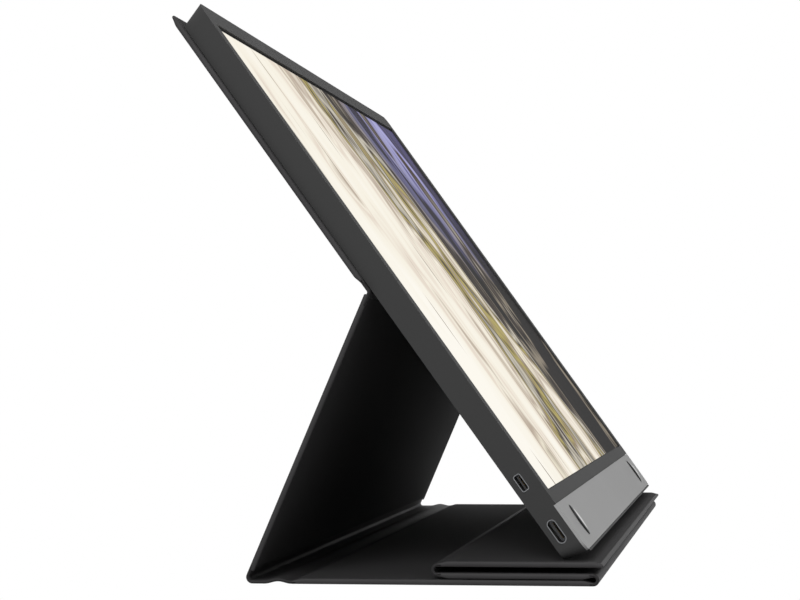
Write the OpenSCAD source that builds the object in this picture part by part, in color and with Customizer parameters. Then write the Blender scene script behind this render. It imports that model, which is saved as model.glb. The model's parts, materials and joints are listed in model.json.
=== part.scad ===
// Portable monitor leaning in its folding cover, millimetres, +Z up.
// Origin: centre of the base panel's underside, where the cover stands on the table.

/* [Monitor] */
// Width of the monitor across its front edge
screen_w = 360; // [352:1:380]
// Height of the monitor along its front
screen_h = 227; // [225:1:240]
// Thickness of the monitor
screen_t = 9; // [9:0.1:11]
// How far the side walls draw in from the front edge to the back edge
wall_taper = 2.4; // [1:0.1:2.8]
// Corner radius of the front edge
corner_r = 5; // [3.5:0.5:8]
// Bezel beside the lit area
side_bezel = 7.5; // [6.4:0.1:12]
// Bezel above the lit area
top_bezel = 8.2; // [6.8:0.1:12]
// Height of the band under the lit area
chin_h = 24.3; // [24.3:0.1:28]
// Height of the light trim plate on that band
plate_h = 18.6; // [16:0.1:18.8]
// Distance from the bottom edge to the trim plate
plate_foot = 0.7; // [0.5:0.1:1.2]
// Thickness of the trim plate
plate_t = 0.9; // [0.6:0.1:1]
// Thickness of the bezel over the display cell
bezel_t = 0.8; // [0.6:0.1:1]
// Thickness of the rear cover
rear_t = 1; // [0.8:0.1:1.2]

/* [Sockets] */
// Height of the USB-C socket above the bottom edge
usb_u = 11.6; // [10:0.2:13]
// Height of the display socket above the bottom edge
hdmi_u = 31.4; // [29:0.2:36]

/* [Buttons] */
// Distance from the side edge to the bulge of each crescent button
button_in = 24.7; // [22:0.1:40]
// Height of the middle of each button above the bottom edge
button_u = 10.2; // [9.5:0.1:11]
// Length of each crescent
button_len = 12; // [10:0.5:13]
// Width of each crescent at its middle
button_w = 4.2; // [3.5:0.1:5]
// Travel of each button
button_travel = 0.35; // [0.2:0.05:0.4]
// Height of a button above the plate
button_proud = 0.3; // [0.2:0.05:0.6]
// Length that the cut in the plate runs past each tip of a crescent
button_tip_gap = 0.7; // [0.2:0.1:1]

/* [Cover] */
// How far the cover reaches past each side of the monitor
cover_side = 0; // [0:0.1:1.5]
// Length of the base panel, front fold to spine
base_len = 103; // [96:1:112]
// Length of the middle panel, front fold to rear fold
middle_len = 56; // [50:1:62]
// How far the top panel's free edge passes the front fold
top_overhang = 1.3; // [0.5:0.1:3]
// Length that the back flap reaches past the monitor's top edge
flap_tip = 1.2; // [0.5:0.1:3]
// Thickness of the outer leather
leather_t = 0.7; // [0.6:0.1:0.9]
// Thickness of the stiff board inside a panel
board_t = 0.7; // [0.6:0.1:0.9]
// Thickness of the inner lining
lining_t = 0.5; // [0.4:0.1:0.6]
// Gap between the base and middle panels
low_gap = 0.3; // [0.2:0.1:0.6]
// Gap between the middle and top panels
high_gap = 2; // [1.4:0.1:2.4]
// Width of the bonded edge with no board in it
hem_w = 2; // [1.8:0.1:4]

/* [Stand] */
// Angle of the screen from the table
screen_tilt = 54.5; // [53:0.5:57]
// Distance from the base's front edge back to the screen's bottom front edge
screen_setback = 3.1; // [2:0.1:6]
// Height up the monitor's back of the fold between flap and leg
fold_u = 113.2; // [110:0.2:116]
// Distance from the origin back to the middle of the foot roll
foot_y = 65; // [64:0.5:68]
// Height of the arch in the soft spine
spine_rise = 1.5; // [0.5:0.1:2]

/* [Hidden] */

// Clearances: a loose fit between parts of the monitor, a cap in its hole, a part on its soft seat
fit_gap = 0.15;
cap_gap = 0.15;
seat_gap = 0.2;
flap_gap = 0.1;
// A flush joint ends this far inside the face beside it, so two cuts never share a face
bite = 0.01;

cover_w = screen_w + 2 * cover_side;
panel_t = leather_t + board_t + lining_t;
hem_t = leather_t + lining_t;

// Heights of the stacked panels, and the folds that join them
middle_z = panel_t + low_gap;
middle_top = middle_z + panel_t;
top_z = middle_top + high_gap;
stack_top = top_z + panel_t;
front_fold_r = middle_top / 2;
front_fold_y = -base_len / 2 + front_fold_r;
rear_fold_r = high_gap / 2 + hem_t;
rear_fold_y = -base_len / 2 + middle_len - rear_fold_r;
rear_fold_z = (middle_top + top_z) / 2;
top_front = -base_len / 2 - top_overhang;

// Where the monitor's own frame starts: bottom edge and back face, turned by screen_tilt
screen_y = -base_len / 2 + screen_setback + screen_t * sin(screen_tilt);
screen_z = stack_top + seat_gap - wall_taper * sin(screen_tilt);

// Fold behind the screen, and the leg that runs from it to the foot roll
fold_in = 0.6;
fold_out = fold_in + hem_t;
fold_n = -flap_gap - fold_out;
fold_y = screen_y + fold_u * cos(screen_tilt) - fold_n * sin(screen_tilt);
fold_z = screen_z + fold_u * sin(screen_tilt) + fold_n * cos(screen_tilt);
foot_r = panel_t + low_gap;
leg_chord = sqrt(pow(fold_y - foot_y, 2) + pow(fold_z - foot_r, 2));
leg_side = foot_r - panel_t + fold_out;
leg_angle = atan2(fold_z - foot_r, fold_y - foot_y) + asin(leg_side / leg_chord);
leg_reach = sqrt(leg_chord * leg_chord - leg_side * leg_side);
fold_angle = leg_angle - screen_tilt;
// Straight soft strip on each side of the mid fold, and at the foot
fold_strip = 3;
foot_strip = 2;
spine_flat = 4;

// Layers of the monitor, measured forward from its back face
view_w = screen_w - 2 * side_bezel;
view_h = screen_h - chin_h - top_bezel;
cavity_inset = wall_taper + 1.4;
floor_n = screen_t - 2.6;
cell_front = screen_t - bezel_t;
cell_t = 1;
sheets_t = 0.5;
guide_t = 1.2;
tray_t = 0.4;
cell_n = cell_front - cell_t;
sheets_n = cell_n - sheets_t;
guide_n = sheets_n - guide_t;
tray_n = guide_n - tray_t;
cell_margin = 1.8;
cell_foot = chin_h - cell_margin;
cell_w = view_w + 2 * cell_margin;
cell_h = view_h + 2 * cell_margin;
tray_w = cell_w;
sheet_inset = tray_t + 0.1;
plate_n = screen_t - plate_t;

// Light-emitting diodes in a row under the light guide
led_pitch = 11.4;
led_w = 3.4;
led_count = floor((cell_w - 8) / led_pitch);

// Main board and what stands on it
board_n = rear_t + 0.3;
pcb_t = 0.8;
pcb_top = board_n + pcb_t;
pcb_left = -screen_w / 2 + cavity_inset + 0.2;
pcb_run = 118;
pcb_band_u = 5;
pcb_band_h = 15.5;
pcb_tall_w = 64;
pcb_tall_h = 62;
can_x = pcb_left + 40;
can_u = 32;
can_w = 30;
can_h = 24;
can_t = 2.2;
can_sheet = 0.3;
cable_x = pcb_left + 76;
cable_w = 24;
cable_t = 0.2;
cable_lap = 14;
scaler_w = 14;
scaler_h = 12;
scaler_t = 1.2;
driver_w = 16;
driver_t = 1.6;
small_chip = 6;
usb_w = 8.94;
usb_t = 3.26;
usb_deep = 7.3;
usb_n = pcb_top + usb_t / 2;
hdmi_w = 6.4;
hdmi_t = 2.8;
hdmi_deep = 7.5;
hdmi_n = pcb_top + hdmi_t / 2;
socket_wall = 0.3;

// Buttons: cap through the plate, flange in a pocket, stem over the switch
cut_len = button_len + 2 * button_tip_gap;
flange_t = 0.5;
flange_extra = 0.6;
flange_n = plate_n - 0.05 - flange_t;
pocket_n = flange_n - button_travel - 0.1;
stem_r = 1.2;
switch_side = 4.4;
switch_body_t = 2;
switch_top = pocket_n - 0.75;
stem_n = switch_top + button_travel + 0.05;
button_x = screen_w / 2 - button_in - button_w / 2;
button_board_w = 22;

// Screws through the rear cover into bosses of the front frame, in a row between the two boards
screw_side = 8;
screw_from = pcb_left + pcb_run + screw_side;
screw_to = button_x - button_board_w / 2 - screw_side;
screw_x = [for (i = [0:3]) screw_from + i * (screw_to - screw_from) / 3];
screw_u = 8.5;
screw_r = 0.8;
head_r = 1.5;
head_t = 0.6;
boss_r = 2.2;

// Magnets behind the rear cover, and the steel plates in the flap that they hold
magnet_x = screen_w / 2 - 70;
magnet_u = [fold_u + 26.8, screen_h - 27];
magnet_w = 40;
magnet_h = 6;
magnet_t = 1.6;
steel_t = 0.5;

// Foam strips between the tray and the rear cover, and ribs on the cover's inside
pad_x = screen_w / 2 - 60;
pad_u = [pcb_tall_h + 13, screen_h - 17];
pad_h = 6;
rib_from = pcb_tall_h + 8;
rib_to = screen_h - 27;
rib_w = screen_w - 60;
rib_t = 1;
rib_h = 1.2;

leather_grey = "#2c2b2c";
lining_grey = "#3a393a";
frame_grey = "#4b4a4b";
plate_grey = "#8b8b8b";

module on_screen(n = 0) translate([0, screen_y, screen_z]) rotate([screen_tilt, 0, 0]) translate([0, 0, n]) children();
module on_leg(n = 0) translate([0, foot_y, foot_r]) rotate([leg_angle, 0, 0]) translate([0, 0, n]) children();
module across(w) rotate([90, 0, 90]) translate([0, 0, -w / 2]) linear_extrude(w) children();

// Plan outline of the monitor, drawn in from the front edge by inset
module outline(inset = 0, radius = corner_r) {
  w = screen_w - 2 * inset;
  h = screen_h - 2 * inset;
  translate([-w / 2, inset]) {
    translate([radius, 0]) square([w - 2 * radius, h]);
    translate([0, radius]) square([w, h - 2 * radius]);
    for (x = [radius, w - radius], y = [radius, h - radius]) translate([x, y]) circle(radius, $fn = 32);
  }
}

// A plain block on the screen's middle line, from height u
module slab(w, u, h, n, t, x = 0) translate([x - w / 2, u, n]) cube([w, h, t]);

// Tapered outer body, its walls leaning in towards the back
module outer_body() hull() {
  linear_extrude(bite) outline(wall_taper, corner_r - wall_taper / 2);
  translate([0, 0, screen_t - bite]) linear_extrude(bite) outline();
}

// A socket's mouth: a slot with round ends, its long side up the wall
module slot(len, wide, r) {
  for (s = [-1, 1], t = [-1, 1]) translate([s * (len / 2 - r), t * (wide / 2 - r)]) circle(r, $fn = 24);
  square([len - 2 * r, wide], center = true);
  square([len, wide - 2 * r], center = true);
}

// Turns a socket outline so that it looks out of the left wall
module out_of_wall(u, n, x, deep) translate([x, u, n]) rotate([90, 0, 90]) linear_extrude(deep) children();

// Crescent: the part of a disc cut off by a straight side, bulging to the left
module crescent(grow = 0, len = button_len) {
  half = len / 2;
  r = (half * half + button_w * button_w) / (2 * button_w);
  intersection() {
    translate([r - button_w / 2, 0]) circle(r + grow, $fn = 96);
    translate([-button_w / 2 - grow, -half - grow]) square([button_w + 2 * grow, len + 2 * grow]);
  }
}

// side is -1 for the left button and 1 for the right
module at_button(side, n) translate([side * button_x, button_u, n]) mirror([side > 0 ? 1 : 0, 0, 0]) children();

module button_hole(side) {
  at_button(side, pocket_n) linear_extrude(plate_n - pocket_n + bite) crescent(flange_extra + cap_gap, cut_len);
  at_button(side, floor_n - bite) cylinder(r = stem_r + cap_gap, h = pocket_n - floor_n + 2 * bite, $fn = 32);
}

module plate_space(t) slab(screen_w, plate_foot, plate_h, plate_n, t);

module front_frame() color(frame_grey) on_screen() difference() {
  union() {
    difference() {
      outer_body();
      // room for the electronics behind the chin, and for the display above it
      translate([0, 0, -bite]) linear_extrude(floor_n + bite) intersection() {
        outline(cavity_inset, 1.5);
        translate([-screen_w / 2, 0]) square([screen_w, cell_foot]);
      }
      translate([0, 0, -bite]) linear_extrude(cell_front + bite) intersection() {
        outline(cavity_inset, 1.5);
        translate([-screen_w / 2, cell_foot - fit_gap]) square([screen_w, screen_h]);
      }
      slab(view_w, chin_h, view_h, cell_front - bite, bezel_t + 1);
      plate_space(2);
    }
    for (x = screw_x) translate([x, screw_u, rear_t + bite]) cylinder(r = boss_r, h = floor_n - rear_t, $fn = 32);
  }
  for (x = screw_x) translate([x, screw_u, 0]) cylinder(r = screw_r, h = floor_n - 1, $fn = 24);
  for (side = [-1, 1]) button_hole(side);
  out_of_wall(usb_u, usb_n, -screen_w / 2 - 1, cavity_inset + 2) slot(usb_w + 0.2, usb_t + 0.2, usb_t / 2);
  out_of_wall(hdmi_u, hdmi_n, -screen_w / 2 - 1, cavity_inset + 2) slot(hdmi_w + 0.2, hdmi_t + 0.2, 0.9);
}

module rear_cover() color(frame_grey) on_screen() {
  difference() {
    union() {
      linear_extrude(rear_t) outline(cavity_inset + fit_gap, 1.35);
      // low rests under the two boards
      for (x = [pcb_left + 6, pcb_left + pcb_run - 6]) slab(6, pcb_band_u + 2, 6, rear_t - bite, 0.3 + bite, x);
      slab(pcb_tall_w - 24, can_u + 13, 5, rear_t - bite, 0.3 + bite, pcb_left + 30);
      slab(button_board_w - 6, pcb_band_u + 2, 6, rear_t - bite, 0.3 + bite, button_x);
      // stiffening ribs on the inside
      for (u = [rib_from + 20, rib_from + 55, rib_to - 15]) slab(rib_w, u, rib_t, rear_t - bite, rib_h);
      for (x = [-1, 0, 1] * rib_w / 5) slab(rib_t, rib_from, rib_to - rib_from, rear_t - bite, rib_h, x);
    }
    for (x = screw_x) translate([x, screw_u, -1]) {
      cylinder(r = screw_r + 0.1, h = 4, $fn = 24);
      cylinder(r = head_r + 0.1, h = 1 + head_t, $fn = 32);
    }
  }
}

module trim_plate() color(plate_grey) on_screen() difference() {
  intersection() {
    outer_body();
    slab(screen_w + 2, plate_foot + fit_gap, plate_h - 2 * fit_gap, plate_n, plate_t + 1);
  }
  for (side = [-1, 1]) at_button(side, plate_n - 1) linear_extrude(plate_t + 2) crescent(cap_gap, cut_len);
}

module button(side) color(plate_grey) on_screen() {
  at_button(side, flange_n) {
    linear_extrude(screen_t + button_proud - flange_n) crescent();
    linear_extrude(flange_t) crescent(flange_extra, cut_len);
  }
  at_button(side, stem_n) cylinder(r = stem_r, h = flange_n - stem_n + bite, $fn = 32);
}
module left_button() button(-1);
module right_button() button(1);

module display_cell() color("#d9d2bd") on_screen() slab(cell_w, cell_foot, cell_h, cell_n, cell_t);

module optical_sheets() color("white") on_screen()
  slab(cell_w - 2 * sheet_inset, cell_foot + sheet_inset, cell_h - 2 * sheet_inset, sheets_n, sheets_t);

module light_guide() color("#cfe4ea") on_screen()
  slab(cell_w - 2 * sheet_inset, cell_foot + 3, cell_h - 3 - sheet_inset, guide_n, guide_t);

module led_strip() color("#e8e4c0") on_screen() {
  slab(cell_w - 8, cell_foot + sheet_inset, 0.8, guide_n, guide_t);
  for (i = [1:led_count])
    slab(led_w, cell_foot + sheet_inset + 0.8 - bite, 1.4, guide_n + 0.2, 0.8, (i - (led_count + 1) / 2) * led_pitch);
}

module display_tray() color("#b9bbbd") on_screen() difference() {
  slab(tray_w, cell_foot, cell_h, tray_n, cell_n - tray_n);
  slab(tray_w - 2 * tray_t, cell_foot + tray_t, cell_h - 2 * tray_t, guide_n, screen_t);
}

module tray_pads() color("#1b1b1b") on_screen() {
  for (x = [-pad_x, pad_x], u = pad_u) slab(30, u, pad_h, rear_t, tray_n - rear_t, x);
  for (x = [-30, 30]) slab(20, chin_h + 15.7, pad_h, rear_t, tray_n - rear_t, x);
}

module main_board() color("#1f5a3a") on_screen() translate([pcb_left, 0, board_n]) {
  translate([0, pcb_band_u, 0]) cube([pcb_run, pcb_band_h, pcb_t]);
  translate([0, pcb_band_u + pcb_band_h - bite, 0])
    cube([pcb_tall_w, pcb_tall_h - pcb_band_u - pcb_band_h, pcb_t]);
}

module shield_can() color("#a9abad") on_screen() difference() {
  slab(can_w, can_u, can_h, pcb_top, can_t, can_x);
  slab(can_w - 2 * can_sheet, can_u + can_sheet, can_h - 2 * can_sheet, pcb_top - 1, 1 + can_t - can_sheet, can_x);
}

module board_chips() color("#202022") on_screen() {
  slab(scaler_w, can_u + (can_h - scaler_h) / 2, scaler_h, pcb_top, scaler_t, can_x);
  slab(small_chip, pcb_band_u + pcb_band_h / 2, small_chip - 1, pcb_top, scaler_t, can_x);
  slab(driver_w, pcb_band_u + 4, small_chip - 1, pcb_top, driver_t, can_x + driver_w + 4);
  for (i = [0:4]) slab(1.6, pcb_band_u + pcb_band_h + 3, 0.8, pcb_top, 0.8, pcb_left + 20 + 5 * i);
}

// Metal shell: a folded tube, open towards the wall
module socket_shell(len, wide, r, deep, u, n) {
  mouth = -screen_w / 2 + 1.4;
  difference() {
    out_of_wall(u, n, mouth, deep) slot(len, wide, r);
    out_of_wall(u, n, mouth - 1, deep + 1 - socket_wall)
      slot(len - 2 * socket_wall, wide - 2 * socket_wall, r - socket_wall);
  }
}
module socket_tongue(len, wide, deep, u, n) {
  mouth = -screen_w / 2 + 1.4;
  translate([mouth + 1, u - len / 2, n - wide / 2]) cube([deep - 1 - socket_wall, len, wide]);
}
module usb_shell() color("silver") on_screen() socket_shell(usb_w, usb_t, usb_t / 2 - bite, usb_deep, usb_u, usb_n);
module usb_tongue() color("#161616") on_screen() socket_tongue(6.2, 0.7, usb_deep, usb_u, usb_n);
module hdmi_shell() color("silver") on_screen() socket_shell(hdmi_w, hdmi_t, 0.8, hdmi_deep, hdmi_u, hdmi_n);
module hdmi_tongue() color("#161616") on_screen() socket_tongue(4.6, 0.6, hdmi_deep, hdmi_u, hdmi_n);

module button_board() color("#1f5a3a") on_screen()
  slab(button_board_w, pcb_band_u, 11, board_n, pcb_t, button_x);

module button_switches() color("#2a2a2a") on_screen()
  for (side = [-1, 1]) translate([side * button_x, button_u, pcb_top]) {
    translate([-switch_side / 2, -switch_side / 2, 0]) cube([switch_side, switch_side, switch_body_t]);
    cylinder(r = 1.1, h = switch_top - pcb_top, $fn = 24);
  }

// Flat cable along the chin, from the main board to the button board
module button_cable() color("#a8672c") on_screen() {
  from = pcb_left + pcb_run - 6;
  to = button_x - button_board_w / 2 + 4;
  translate([from, pcb_band_u + 10, pcb_top]) cube([to - from, 4, cable_t]);
}

// Flat cable from the main board up to the back of the display tray
module display_cable() color("#a8672c") on_screen() translate([cable_x, 0, 0]) {
  run_u = pcb_band_u + 8;
  turn_u = cell_foot - 1.6;
  translate([0, run_u, pcb_top]) cube([cable_w, turn_u - run_u, cable_t]);
  translate([0, turn_u - bite, pcb_top]) cube([cable_w, cable_t, tray_n - pcb_top]);
  translate([0, turn_u - bite, tray_n - cable_t]) cube([cable_w, cable_lap, cable_t]);
}

module holding_magnets() color("#8e9094") on_screen()
  for (x = [-magnet_x, magnet_x], u = magnet_u) slab(magnet_w, u, magnet_h, rear_t, magnet_t, x);

module rear_screws() color("silver") on_screen()
  for (x = screw_x) translate([x, screw_u, 0]) {
    cylinder(r = head_r, h = head_t, $fn = 32);
    cylinder(r = screw_r - 0.05, h = floor_n - 1.4, $fn = 24);
  }

// One cover panel: a flat skin, a board inset by the hems, and a skin that steps over the board.
// Local y runs along the panel, z rises from the flat skin's outer face.
module panel_plate(len, t, side = 0, from = 0, to = 0)
  translate([-cover_w / 2 + side, from, 0]) cube([cover_w - 2 * side, len - from - to, t]);
module panel_board(len, flat_t, from, to)
  translate([0, 0, flat_t]) panel_plate(len, board_t, hem_w, from, to);
module panel_step(len, flat_t, step_t, from, to) translate([0, 0, flat_t]) difference() {
  slope = 0.8;
  union() {
    panel_plate(len, step_t);
    hull() {
      panel_plate(len, step_t, hem_w - 2 * slope, max(from - 2 * slope, 0), max(to - 2 * slope, 0));
      panel_plate(len, step_t + board_t, hem_w - slope / 2, max(from - slope / 2, 0), max(to - slope / 2, 0));
    }
  }
  translate([0, 0, -bite]) panel_plate(len, board_t + bite, hem_w, from, to);
}

// Back flap: lining flat on the monitor's back, from just above the fold to past the top edge
flap_from = fold_u + fold_strip;
flap_len = screen_h + flap_tip - flap_from;
module on_flap() on_screen(-flap_gap) translate([0, flap_from, 0]) mirror([0, 0, 1]) children();
module flap_plate_room(h) for (x = [-magnet_x, magnet_x], u = magnet_u)
  translate([x - magnet_w / 2, u - flap_from, lining_t + board_t - steel_t]) cube([magnet_w, magnet_h, h]);
module flap_lining() color(lining_grey) on_flap() panel_plate(flap_len, lining_t);
module flap_board() color("#8a7a63") on_flap() difference() {
  panel_board(flap_len, lining_t, hem_w, hem_w);
  flap_plate_room(2);
}
module flap_plates() color("silver") on_flap() flap_plate_room(steel_t);
module flap_leather() color(leather_grey) on_flap() panel_step(flap_len, lining_t, leather_t, hem_w, hem_w);

// Leg: lining flat on the inner side, bonded to the fold strip at the top and the foot roll below
leg_from = foot_strip;
leg_len = leg_reach - fold_strip - leg_from;
module on_leg_panel() on_leg(panel_t - foot_r) translate([0, leg_from, 0]) mirror([0, 0, 1]) children();
module leg_lining() color(lining_grey) on_leg_panel() panel_plate(leg_len, lining_t);
module leg_board() color("#8a7a63") on_leg_panel() panel_board(leg_len, lining_t, 0, hem_w);
module leg_leather() color(leather_grey) on_leg_panel() panel_step(leg_len, lining_t, leather_t, 0, hem_w);

// Base, middle and top panels: leather flat, lining stepped over the board
base_run = base_len / 2 - front_fold_y;
module on_base() translate([0, front_fold_y, 0]) children();
module base_leather() color(leather_grey) on_base() panel_plate(base_run, leather_t);
module base_board() color("#8a7a63") on_base() panel_board(base_run, leather_t, hem_w, hem_w);
module base_lining() color(lining_grey) on_base() panel_step(base_run, leather_t, lining_t, hem_w, hem_w);

middle_run = rear_fold_y - front_fold_y;
module on_middle() translate([0, front_fold_y, middle_top]) mirror([0, 0, 1]) children();
module middle_leather() color(leather_grey) on_middle() panel_plate(middle_run, leather_t);
module middle_board() color("#8a7a63") on_middle() panel_board(middle_run, leather_t, hem_w, hem_w);
module middle_lining() color(lining_grey) on_middle() panel_step(middle_run, leather_t, lining_t, hem_w, hem_w);

top_run = rear_fold_y - top_front;
module on_top() translate([0, top_front, top_z]) children();
module top_leather() color(leather_grey) on_top() panel_plate(top_run, leather_t);
module top_board() color("#8a7a63") on_top() panel_board(top_run, leather_t, hem_w, hem_w);
module top_lining() color(lining_grey) on_top() panel_step(top_run, leather_t, lining_t, hem_w, hem_w);

// Part of a ring, swept from one angle to another, flat shape
module arc_strip(inner, outer, from, to) intersection() {
  difference() {
    circle(outer, $fn = 64);
    circle(inner, $fn = 64);
  }
  reach = 4 * outer;
  mid = (from + to) / 2;
  polygon([[0, 0], for (a = [from, (from + mid) / 2, mid, (mid + to) / 2, to]) reach * [cos(a), sin(a)]]);
}

module mid_fold() color(leather_grey) on_screen() across(cover_w) translate([fold_u, fold_n]) {
  translate([-bite, fold_in]) square([fold_strip + bite, hem_t]);
  arc_strip(fold_in, fold_out, 90, 90 + fold_angle);
  rotate(fold_angle) translate([-fold_strip, fold_in]) square([fold_strip + bite, hem_t]);
}

module front_fold() color(leather_grey) across(cover_w) translate([front_fold_y, front_fold_r])
  arc_strip(front_fold_r - hem_t, front_fold_r, 90, 270);

module rear_fold() color(leather_grey) across(cover_w) translate([rear_fold_y, rear_fold_z])
  arc_strip(high_gap / 2, rear_fold_r, -90, 90);

// Soft spine: an arch behind the base, a flat stretch on the table, and the roll into the leg
spine_steps = 16;
spine_front = base_len / 2;
spine_arch = foot_y - spine_flat - spine_front;
function spine_line(t, raise) = [spine_front + t * spine_arch, raise + spine_rise * pow(sin(180 * t), 2)];
module spine() color(leather_grey) across(cover_w) {
  polygon([
    for (i = [0:spine_steps]) spine_line(i / spine_steps, 0),
    for (i = [spine_steps:-1:0]) spine_line(i / spine_steps, hem_t)
  ]);
  translate([foot_y - spine_flat - bite, 0]) square([spine_flat + 2 * bite, hem_t]);
  translate([foot_y, foot_r]) {
    arc_strip(foot_r - hem_t, foot_r, -90, leg_angle - 90);
    rotate(leg_angle) translate([-bite, -foot_r]) square([foot_strip + bite, hem_t]);
  }
}

front_frame();
rear_cover();
trim_plate();
left_button();
right_button();
display_cell();
optical_sheets();
light_guide();
led_strip();
display_tray();
tray_pads();
main_board();
shield_can();
board_chips();
usb_shell();
usb_tongue();
hdmi_shell();
hdmi_tongue();
button_board();
button_switches();
button_cable();
display_cable();
holding_magnets();
rear_screws();
flap_leather();
flap_board();
flap_lining();
flap_plates();
mid_fold();
leg_leather();
leg_board();
leg_lining();
base_leather();
base_board();
base_lining();
spine();
front_fold();
middle_leather();
middle_board();
middle_lining();
rear_fold();
top_leather();
top_board();
top_lining();
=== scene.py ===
# %% [markdown]
# This lesson dresses a portable monitor that leans in its folding cover. The rigid pieces come ready from
# a imported model, at their real size in metres, so the first step loads it and gives a way to read a
# part's box. The soft cover, the picture on the screen and the small fittings are made here; the panels,
# the picture and the fittings ride on the packed model's bodies.

# %% Load the imported monitor
import json

import bmesh
import bpy
import numpy as np
from mathutils import Matrix, Vector


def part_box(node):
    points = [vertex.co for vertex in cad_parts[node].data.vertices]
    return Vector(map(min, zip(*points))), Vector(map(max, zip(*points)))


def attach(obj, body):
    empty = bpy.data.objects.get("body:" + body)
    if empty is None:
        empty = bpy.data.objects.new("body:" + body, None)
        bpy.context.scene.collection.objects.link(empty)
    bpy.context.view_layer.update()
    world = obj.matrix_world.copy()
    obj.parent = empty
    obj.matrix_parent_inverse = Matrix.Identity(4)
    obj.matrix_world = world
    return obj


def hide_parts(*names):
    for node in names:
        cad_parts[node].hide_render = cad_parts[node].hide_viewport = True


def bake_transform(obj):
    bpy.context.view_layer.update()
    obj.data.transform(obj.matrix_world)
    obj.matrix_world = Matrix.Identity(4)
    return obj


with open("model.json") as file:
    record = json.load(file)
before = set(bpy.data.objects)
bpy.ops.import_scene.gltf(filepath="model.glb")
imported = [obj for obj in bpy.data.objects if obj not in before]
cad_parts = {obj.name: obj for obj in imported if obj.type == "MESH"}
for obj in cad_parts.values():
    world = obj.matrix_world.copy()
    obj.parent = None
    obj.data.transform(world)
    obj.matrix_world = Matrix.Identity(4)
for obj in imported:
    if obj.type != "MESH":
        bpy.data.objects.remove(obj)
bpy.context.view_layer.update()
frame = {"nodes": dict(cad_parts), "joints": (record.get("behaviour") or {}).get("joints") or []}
MM = 0.001

# %% [markdown]
# Colours on screens are written as sRGB hex values, but a renderer adds up light, which is linear. One
# function turns a hex value to linear light, and one adds a shader node with its settings and links. The
# others are short names for nodes that most materials share.


# %% Colour and node helpers
def linear(hex_value):
    """sRGB hex to linear RGBA: c / 12.92 near black, else ((c + 0.055) / 1.055) to the power 2.4."""
    c = np.array([int(hex_value[i : i + 2], 16) for i in (1, 3, 5)]) / 255
    lit = np.where(c <= 0.04045, c / 12.92, ((c + 0.055) / 1.055) ** 2.4)
    return (*lit.tolist(), 1.0)


def add(tree, kind, links=None, **settings):
    """Adds one shader node: settings are its properties, links its inputs, fed by sockets or values."""
    made = tree.nodes.new("ShaderNode" + kind)
    for name, value in settings.items():
        setattr(made, name, value)
    for name, value in (links or {}).items():
        socket = made.inputs[name]
        if isinstance(value, bpy.types.NodeSocket):
            tree.links.new(value, socket)
        else:
            socket.default_value = value
    return made


def start_material(name):
    """An empty material and its tree."""
    material = bpy.data.materials.new(name)
    material.use_nodes = True
    material.node_tree.nodes.clear()
    return material, material.node_tree


def end_material(tree, links):
    """Closes a material with one layered surface shader that takes these inputs."""
    face = add(tree, "BsdfPrincipled", links)
    add(tree, "OutputMaterial", {"Surface": face.outputs["BSDF"]})


def ramp(tree, factor, stops):
    """A colour ramp through (place, hex) stops."""
    made = add(tree, "ValToRGB", {"Fac": factor})
    while len(made.color_ramp.elements) < len(stops):
        made.color_ramp.elements.new(0.5)
    for element, (place, hex_value) in zip(made.color_ramp.elements, stops):
        element.position = place
        element.color = linear(hex_value)
    return made.outputs["Color"]


def per_metre(size_mm):
    """Texture scale at which one cell of a pattern is size_mm wide, on coordinates in metres."""
    return 1000 / size_mm


def noise(tree, place, size_mm, detail, distortion=0.0):
    """Noise around 0.5 whose patches are about size_mm wide."""
    links = {"Vector": place, "Scale": per_metre(size_mm), "Detail": detail, "Distortion": distortion}
    return add(tree, "TexNoise", links).outputs["Fac"]


def remap(tree, value, to_low, to_high, from_low=0.0, from_high=1.0):
    """Carries the span from_low to from_high evenly onto to_low to to_high, and stops at both ends."""
    links = {"From Min": from_low, "From Max": from_high, "To Min": to_low, "To Max": to_high}
    return add(tree, "MapRange", links | {"Value": value}).outputs["Result"]


def calculate(tree, operation, first, second):
    """One sum on two numbers."""
    return add(tree, "Math", {0: first, 1: second}, operation=operation).outputs["Value"]


def relief(tree, height, strength, depth_mm, invert=False, under=None):
    """Normals of a surface on which height, 0 to 1, stands up to depth_mm out of the plain one, or out of
    another relief under it."""
    links = {"Height": height, "Strength": strength, "Distance": depth_mm * MM}
    if under is not None:
        links["Normal"] = under
    return add(tree, "Bump", links, invert=invert).outputs["Normal"]


def toned(tree, hex_value, grain, change):
    """A colour made up to change darker or lighter by a grain between 0 and 1."""
    value = remap(tree, grain, 1 - change, 1 + change)
    return add(tree, "HueSaturation", {"Color": linear(hex_value), "Value": value}).outputs["Color"]


print("mid grey in linear light:", round(linear("#808080")[0], 3))

# %% [markdown]
# A camera near the table looks along the screen from its left side. A long lens keeps the side wall's
# edges almost parallel. Its place was fitted to corners of the monitor and of the cover, which have known
# sizes.

# %% Camera
CAMERA_AT = (-0.8832, -0.1066, 0.0758)
CAMERA_TURN, CAMERA_RISE, CAMERA_ROLL = np.radians([7.62, 1.50, -0.32])
FOCAL_MM, SENSOR_MM, SHIFT = 96.4, 36.0, -0.1


def look(turn, rise, roll):
    """Camera axes as a matrix: forward is +X turned to +Y and raised; roll then turns it about forward."""
    forward = np.array([np.cos(turn) * np.cos(rise), np.sin(turn) * np.cos(rise), np.sin(rise)])
    right = np.array([np.sin(turn), -np.cos(turn), 0.0])
    up = np.cross(right, forward)
    rolled = right * np.cos(roll) + up * np.sin(roll)
    return Matrix(np.column_stack([rolled, np.cross(rolled, forward), -forward]).tolist())


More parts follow.
